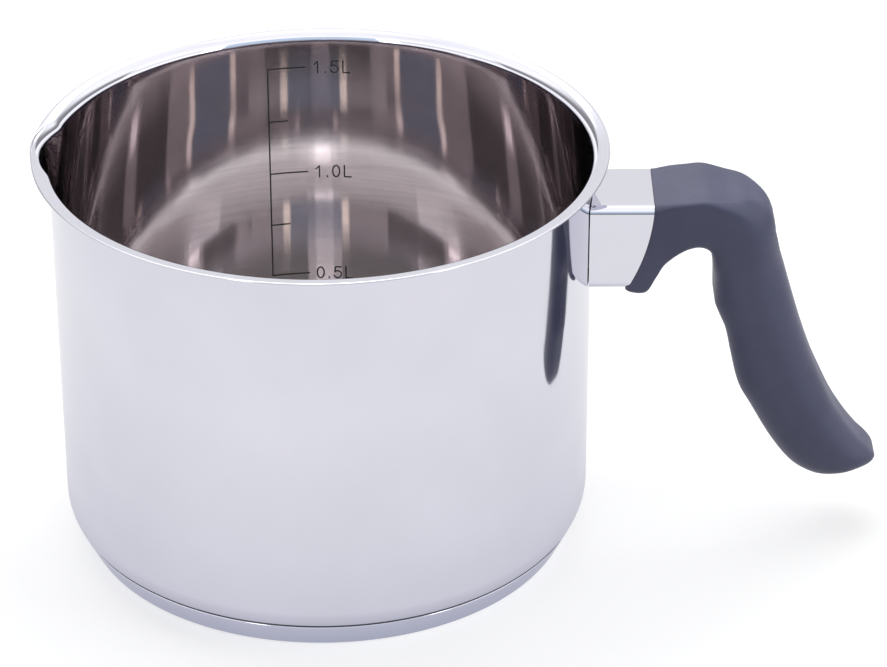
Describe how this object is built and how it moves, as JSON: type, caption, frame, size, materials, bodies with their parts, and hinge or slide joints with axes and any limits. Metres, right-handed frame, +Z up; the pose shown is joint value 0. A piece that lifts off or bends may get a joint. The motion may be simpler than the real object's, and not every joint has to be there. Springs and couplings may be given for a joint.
{
  "type": "milk pan",
  "caption": "Deep round steel milk pan with a flared rim, a pouring lip, a bonded capsule base and a drooping moulded side handle screwed on over a square collar.",
  "frame": {"origin": "centre of the underside of the capsule base, on the vessel's axis", "axes": "+Z up along the vessel's axis, +X towards the handle, -X towards the pouring lip"},
  "size_m": [0.224, 0.15, 0.1115],
  "materials": {
    "steel_body": "mirror polished outside, satin brushed inside",
    "steel_base": "mirror polished",
    "aluminium_core": "raw pressed",
    "steel_collar": "mirror polished",
    "steel_bracket": "pressed, unpolished",
    "bakelite": "matt moulded anthracite bakelite",
    "zinc_steel": "bright zinc plated"
  },
  "bodies": {
    "root": {"vessel": "steel_body", "base_core": "aluminium_core", "base_cap": "steel_base", "handle_bracket": "steel_bracket", "bracket_nut": "zinc_steel", "collar": "steel_collar", "handle": "bakelite", "flat_washer": "zinc_steel", "spring_washer": "zinc_steel", "handle_screw": "zinc_steel"}
  },
  "joints": []
}
